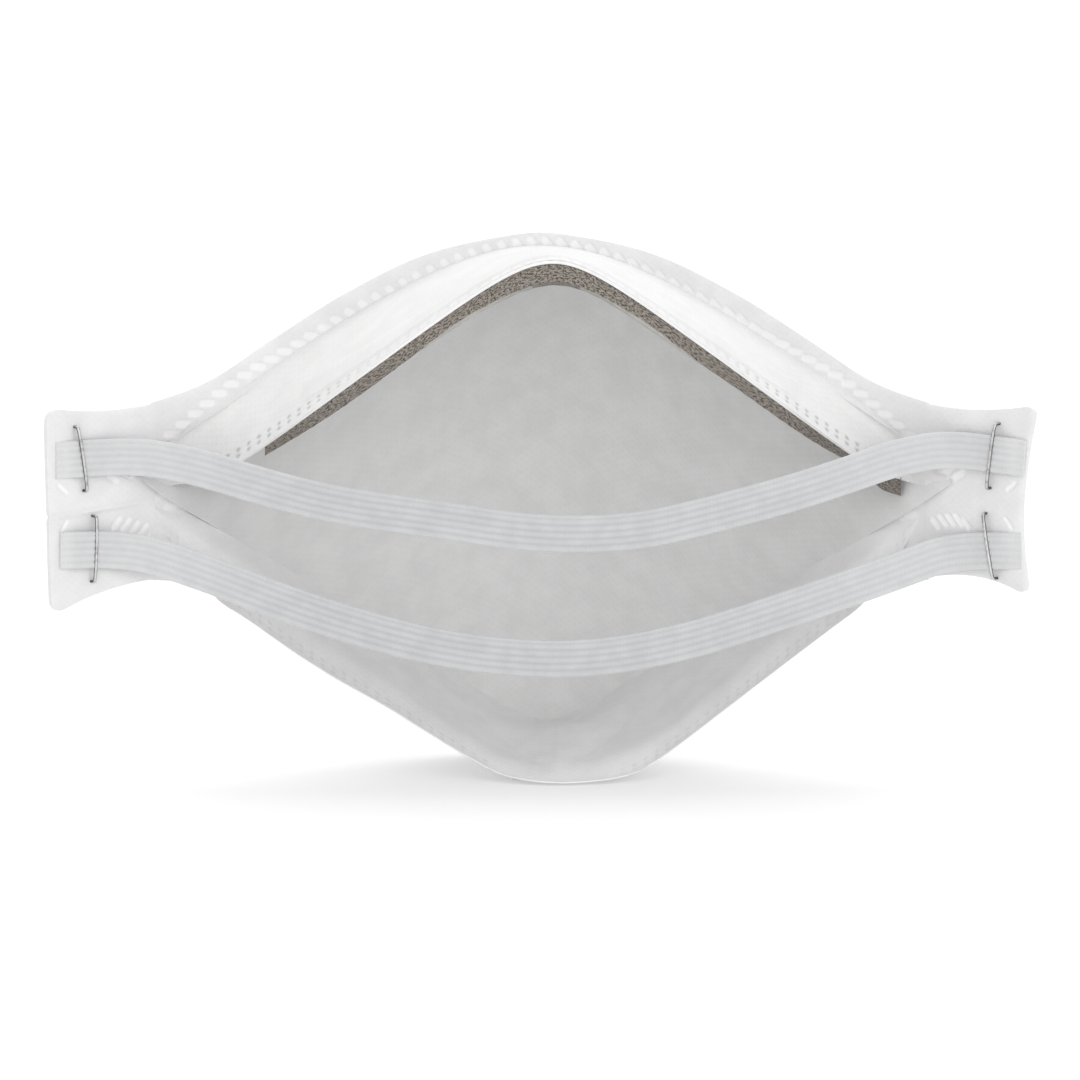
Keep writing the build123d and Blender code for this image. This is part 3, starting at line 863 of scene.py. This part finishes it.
def tab_edges(side):
    """A tab's top, end, low and root edges, with rounded corners at the end."""
    top_edge, waist, low_edge = TAB_OUTLINES[side]
    top = arc_points(*top_edge)
    low = arc_points(*low_edge)[::-1]
    end = arc_points(low_edge[0], waist, top_edge[2])
    low_cut, top_cut = cut_back(low), cut_back(top)
    end_cut = cut_back(cut_back(end)[::-1])[::-1]
    low_half, end_start = rounded_corner(low_cut[-1], low[-1], end_cut[0])
    top_half, end_finish = rounded_corner(top_cut[-1], top[-1], end_cut[-1])
    top_line = np.concatenate([top_cut, top_half[1:]])
    end_line = np.concatenate([end_start[:-1], end_cut, end_finish[::-1][1:]])
    low_line = np.concatenate([low_cut, low_half[1:]])
    return top_line, end_line, low_line, np.array([low[0], top[0]])


def tab_patch(top, end, low, root, count_u, count_v):
    """A grid between four edges, which run outwards or upwards."""
    top, low = resample(top, count_u), resample(low, count_u)
    root, end = resample(root, count_v), resample(end, count_v)
    u = np.linspace(0, 1, count_u)[:, None, None]
    v = np.linspace(0, 1, count_v)[None, :, None]
    sides = (1 - v) * low[:, None] + v * top[:, None] + (1 - u) * root[None] + u * end[None]
    corners = (1 - v) * ((1 - u) * low[0] + u * low[-1]) + v * ((1 - u) * top[0] + u * top[-1])
    return sides - corners, u[..., 0], v[..., 0]


def tab_spot(side, x, height, lean, length, width):
    """A pressed bar on the tab's own plane, from where it is seen."""
    reach = (abs(x) - CORNER_X) / SWEEP_COS
    y = TAB_MIDDLE_Y - reach * SWEEP_SIN
    return reach, (height - CAMERA_RISE * y) / CAMERA_SQUASH, lean * side, length, width


def side_tab(side):
    """All the sheets welded together, with pressed bars."""
    grid, u, v = tab_patch(*tab_edges(side), 96, 132)
    reach, height = grid[..., 0], grid[..., 1]
    pressed = lozenges(reach, height, [tab_spot(side, *weld) for weld in TAB_WELDS[side]])
    to_cut = np.minimum((1 - u) * TAB_SIZE[0], np.minimum(v, 1 - v) * TAB_SIZE[1])
    half = TAB_HALF_THICKNESS * (1 - 0.4 * np.exp(-to_cut / 0.7)) - WELD_DEPTH * pressed
    swing = 0.5 * ripple(reach * side, height, 0.6) * smoothstep(u, 0.05, 0.4)
    if side < 0:
        # the left tab's crease, out from the mouth corner
        fold = np.exp(-(((height - 1.4 + 0.06 * reach) / 0.5) ** 2))
        swing = swing + 0.5 * fold * smoothstep(reach, 1.0, 8.0)
    corner, along, normal = tab_axes(side)
    middle = corner + reach[..., None] * along + height[..., None] * UP
    face, back = (middle + (swing + way * half)[..., None] * normal for way in (1, -1))
    uv = np.stack([side * (CORNER_X + reach), height], -1)
    name = f"{SIDE_NAMES[side]}_tab"
    piece = sheet_piece(f"{name}_laminate", face, back, uv, laminate, press_and_painted_light=0.62 * pressed)
    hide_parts(name)
    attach(piece, "shell")


for side in TAB_OUTLINES:
    side_tab(side)


# --- head straps ---
STRAP_WIDTH = 7.0
STRAP_HALF_THICKNESS = 0.42
GROOVE_DEPTH = 0.13
STRAP_SPLIT_X = 66.0
STRAP_ROUTES = {
    "upper": [
        (-90.0, -10.42, 10.6), (-78.1, -2.1, 10.8), (-66, -2.8, 9.1), (-52, -6.4, 5.3),
        (-38, -10.4, 2.2), (-20, -14.2, 0.3), (0, -16, -2.5), (18, -14.8, -2.2),
        (32, -11.8, 0.7), (47, -8, 4.2), (58, -4.8, 7.4), (67, -2.8, 10.4),
        (78.1, -2.1, 12.2), (90.0, -10.42, 11.0),
    ],
    "lower": [
        (-89.2, -9.85, -6.4), (-78.1, -2.1, -6.7), (-66, -3, -10.2), (-45, -8.8, -17.5),
        (-26, -13, -22.7), (-10, -15.4, -25.4), (8, -15.7, -26.2), (26, -13, -23.5),
        (41, -9.6, -19.2), (54, -6, -15.3), (67, -2.8, -11.1), (78.1, -2.1, -6.9),
        (89.5, -10.08, -6.5),
    ],
}


def spline_points(name, route):
    """Points read from the route's own NURBS line."""
    curve = bpy.data.curves.new(name, "CURVE")
    curve.dimensions = "3D"
    spline = curve.splines.new("NURBS")
    spline.points.add(len(route) - 1)
    for point, (x, y, z) in zip(spline.points, route):
        point.co = (x, y, z, 1.0)
    spline.order_u = 3
    spline.use_endpoint_u = True
    curve.resolution_u = 24
    line = add_object(name, curve)
    mesh = bpy.data.meshes.new_from_object(line.evaluated_get(bpy.context.evaluated_depsgraph_get()))
    points = np.array([v.co for v in mesh.vertices])
    bpy.data.objects.remove(line)
    bpy.data.meshes.remove(mesh)
    return points


def directions(line):
    """The unit direction of a line at each of its points."""
    course = np.gradient(line, axis=0)
    return course / np.linalg.norm(course, axis=1)[:, None]


def band_section():
    """A ribbed band's outline, (height, thickness), and how deep in a groove each point is."""
    height = np.linspace(-STRAP_WIDTH / 2, STRAP_WIDTH / 2, 71)
    groove = 0.5 - 0.5 * np.cos(2 * np.pi * (5.5 * height / STRAP_WIDTH + 0.25))
    groove = groove**1.6 * bump(height, STRAP_WIDTH / 2 - 0.9, 0.5)
    half = STRAP_HALF_THICKNESS - GROOVE_DEPTH * groove
    half = half * np.sqrt(np.clip(1 - (np.abs(height) / (STRAP_WIDTH / 2)) ** 18, 0.02, 1))
    outline = np.concatenate([np.stack([height, half], 1), np.stack([height[::-1], -half[::-1]], 1)])
    return outline, np.concatenate([groove, groove[::-1]])


def strap_piece(name, points, start):
    """A ribbed band on edge along some points."""
    outline, groove = band_section()
    along = directions(points)
    up = UP - along * along[:, 2:3]
    up /= np.linalg.norm(up, axis=1)[:, None]
    out = np.cross(along, up)
    height, thickness = outline.T[:, None, :, None]
    rings = points[:, None] + height * up[:, None] + thickness * out[:, None]
    uv = tube_uv(start + run_along(points), outline[:, 0])
    # paler where it lies against the tab, and filmed over where it is pressed into it
    side = np.abs(points[:, 0])
    pale = 0.34 * smoothstep(side, 40.0, 76.0) + 0.36 * smoothstep(side, 86.4, 88.8)
    # the groove mask also gives the elastic painted shade in its grooves
    return tube_piece(name, rings, uv, elastic, {"press_and_painted_light": groove, "dots": pale[:, None]}, 60.0)


def insert_at(points, x):
    """The points with one more where the line crosses x, and its place."""
    k = int(np.searchsorted(points[:, 0], x))
    a, b = points[k - 1], points[k]
    new = a + (b - a) * (x - a[0]) / (b[0] - a[0])
    return np.insert(points, k, new, 0), k


def head_strap(level):
    """A strap's two stapled ends, pressed into the tabs, and the span that swings between."""
    points = spline_points(f"{level}_route", STRAP_ROUTES[level])
    reach = np.abs(points[:, 0])
    pressed_in = 0.62 * smoothstep(reach, 85.6, 88.6) + 0.16 * smoothstep(reach, 88.0, 89.6)
    points[:, 0] += np.sign(points[:, 0]) * pressed_in * SWEEP_SIN
    points[:, 1] += pressed_in * SWEEP_COS
    points, first = insert_at(points, -STRAP_SPLIT_X)
    points, last = insert_at(points, STRAP_SPLIT_X)
    ends = [
        strap_piece(f"{level}_strap_end_left", points[: first + 1], 0.0),
        strap_piece(f"{level}_strap_end_right", points[last:], 200.0),
    ]
    for end in ends:
        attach(end, "shell")
    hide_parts(f"{level}_strap_ends")
    span = points[first: last + 1]
    strap = strap_piece(f"{level}_strap_band", span, 30.0)
    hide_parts(f"{level}_strap")
    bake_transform(strap)


for level in STRAP_ROUTES:
    head_strap(level)


# --- chin tab: a small tongue of cloth, folded forwards under the chin edge ---
TONGUE_X = 3.8
TONGUE_REACH = 9.0  # half its width
TONGUE_ROUND = 3.0
TONGUE_HALF = 0.27  # half its thickness
# the folded cloth's middle, from above the edge, round it and forwards: y, and z above the floor
TONGUE_FOLD = [
    (3.6, 0.74), (2.8, 0.73), (2.1, 0.68), (1.8, 0.52), (2.1, 0.34), (3.0, 0.29),
    (4.2, 0.28), (5.5, 0.28), (7.4, 0.28), (8.7, 0.28),
]


def chin_tab():
    """A folded tongue with rounded corners at its tip."""
    x = np.linspace(-TONGUE_REACH, TONGUE_REACH, 45)[:, None]
    fold = resample(np.array(TONGUE_FOLD), 44)
    lean_y, lean_z = directions(fold).T
    y, z = fold.T[:, None]
    corner = np.clip(np.abs(x) - TONGUE_REACH + TONGUE_ROUND, 0, TONGUE_ROUND)
    shorter = TONGUE_ROUND - np.sqrt(np.maximum(0.0, TONGUE_ROUND**2 - corner**2))
    y = float(chin_edge_y(CHIN_X)) + (y - shorter * smoothstep(y, 2.0, 8.7))
    half = TONGUE_HALF * (1 - 0.4 * smoothstep(np.abs(x), 8.0, TONGUE_REACH))
    grids = []
    for way in (1, -1):
        offset = way * half
        layers = (TONGUE_X + x, y - offset * lean_z, z - TAB_HEIGHT + offset * lean_y)
        grids.append(np.stack([np.broadcast_to(part, y.shape) for part in layers], -1))
    piece = sheet_piece("chin_tab_tongue", *grids, grids[0][..., :2], outer_cloth, press_and_painted_light=0.3)
    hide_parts("chin_tab")
    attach(piece, "chin_tab")


chin_tab()


# --- staples: drawn down over the straps, with their legs clinched on the front ---
# each staple's spot, as x from the mouth corner and height, and its lean in degrees
STAPLES = {
    (-1, "upper"): ((-17.7, 10.6), 9.5),
    (1, "upper"): ((16.2, 11.0), -8.5),
    (-1, "lower"): ((-14.8, -6.6), -2.0),
    (1, "lower"): ((15.6, -6.0), 10.5),
}
# half of the wire's line: along the crown, and height out of the tab's middle plane
STAPLE_LEG = [
    (3.2, -1.08), (4.6, -1.30), (5.7, -1.12), (6.15, -0.6), (6.22, 0.3), (6.2, 1.3), (6.1, 1.78),
    (5.5, 2.02), (4.0, 2.12), (2.0, 2.18),
]
STAPLE_LINE = [(-along, out) for along, out in STAPLE_LEG] + [(0.0, 2.2)] + STAPLE_LEG[::-1]
WIRE_RADIUS = 0.35
WIRE_FLATNESS = 0.86
WIRE_TIP = 0.35  # share of its radius that the wire keeps at its tips
WIRE_SIDES = 14


def staple(side, level):
    """One wire, from one clinched leg over the crown to the other."""
    spot, lean = STAPLES[side, level]
    tilt = math.radians(lean)
    corner, tab_along, out = tab_axes(side)
    across = side * tab_along
    along = -math.sin(tilt) * across + math.cos(tilt) * UP
    middle = corner + spot[0] * across + spot[1] * UP
    line = spline_points("staple_line", [tuple(middle + a * along + h * out) for a, h in STAPLE_LINE])
    sideways = np.cross(along, out)
    outward = np.cross(sideways, directions(line))
    angles = np.arange(WIRE_SIDES) * 2 * np.pi / WIRE_SIDES
    radius = np.full(len(line), WIRE_RADIUS)
    radius[[0, -1]] *= WIRE_TIP
    turn = np.cos(angles)[:, None] * sideways
    lift = WIRE_FLATNESS * np.sin(angles)[:, None] * outward[:, None]
    rings = line[:, None] + radius[:, None, None] * (turn + lift)
    # painted shade: the wire is painted darker on its sides and underside, and stays bright where it faces
    # out
    painted_side_shade = 1 - smoothstep(np.sin(angles), 0.15, 0.8)
    name = f"staple_{level}_{SIDE_NAMES[side]}"
    uv = tube_uv(run_along(line), angles)
    wire = tube_piece(f"{name}_wire", rings, uv, staple_metal, {"press_and_painted_light": painted_side_shade})
    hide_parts(name)
    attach(wire, "shell")


for side, level in STAPLES:
    staple(side, level)


# --- studio ---
FLOOR_SIZE = 60.0
FLOOR_GLOW = 0.30
AMBIENT_STRENGTH = 0.75
BACKDROP_STRENGTH = 1.05  # what the camera sees behind the mask


def floor_material():
    """Plain and pale, with a glow of its own."""
    shader = Shader("floor")
    coords = shader.add("ShaderNodeTexCoord").outputs["Object"]
    cloud = shader.noise(coords, 6.0, 2.0)
    shader.set(Base_Color=shader.blend_colour(cloud, grey(0.64), grey(0.66)), Roughness=0.9)
    shader.set(Specular_IOR_Level=0.0)
    return shader.set(Emission_Color=(1, 1, 1, 1), Emission_Strength=FLOOR_GLOW)


def background(nodes, colour, strength):
    shade = nodes.new("ShaderNodeBackground")
    shade.inputs["Color"].default_value = colour
    shade.inputs["Strength"].default_value = strength
    return shade.outputs[0]


def studio_world():
    """Even light from all round, before a white backdrop."""
    world = bpy.data.worlds.new("studio")
    bpy.context.scene.world = world
    world.use_nodes = True
    nodes, links = world.node_tree.nodes, world.node_tree.links
    nodes.clear()
    paths = nodes.new("ShaderNodeLightPath")
    mixed = nodes.new("ShaderNodeMixShader")
    output = nodes.new("ShaderNodeOutputWorld")
    links.new(paths.outputs["Is Camera Ray"], mixed.inputs[0])
    links.new(background(nodes, (1.0, 0.995, 1.0, 1), AMBIENT_STRENGTH), mixed.inputs[1])
    links.new(background(nodes, (1, 1, 1, 1), BACKDROP_STRENGTH), mixed.inputs[2])
    links.new(mixed.outputs[0], output.inputs["Surface"])


def sun(name, direction, strength, spread):
    """A wide, soft light that shines in one direction."""
    light = bpy.data.lights.new(name, "SUN")
    light.energy = strength
    light.angle = math.radians(spread)
    lamp = add_object(name, light)
    lamp.rotation_mode = "QUATERNION"
    lamp.rotation_quaternion = Vector(direction).to_track_quat("-Z", "Y")


bpy.ops.mesh.primitive_grid_add(x_subdivisions=8, y_subdivisions=8, size=FLOOR_SIZE)
floor = bpy.context.object
floor.name = "floor"
floor.data.materials.append(floor_material())
studio_world()
sun("top_softbox", (0.02, -0.65, -1.0), 1.75, 76)
sun("front_softbox", (-0.25, 1.0, -0.2), 1.25, 80)

# --- camera ---
ELEVATION = math.radians(8.0)
DISTANCE = 6.0
FRAME_WIDTH = 0.202  # what the camera sees at that distance
SENSOR_WIDTH = 36.0
TARGET_Y, TARGET_Z = -0.0174, 0.0453
camera_data = bpy.data.cameras.new("camera")
camera_data.sensor_width = SENSOR_WIDTH
camera_data.lens = SENSOR_WIDTH * DISTANCE / FRAME_WIDTH
camera_data.clip_end = 200.0
camera = add_object("camera", camera_data)
back_off, lift = DISTANCE * math.cos(ELEVATION), DISTANCE * math.sin(ELEVATION)
camera.location = (0.0, TARGET_Y - back_off, TARGET_Z + lift)
camera.rotation_euler = (math.radians(90) - ELEVATION, 0, 0)
bpy.context.scene.camera = camera
bpy.context.scene.view_settings.view_transform = "Standard"
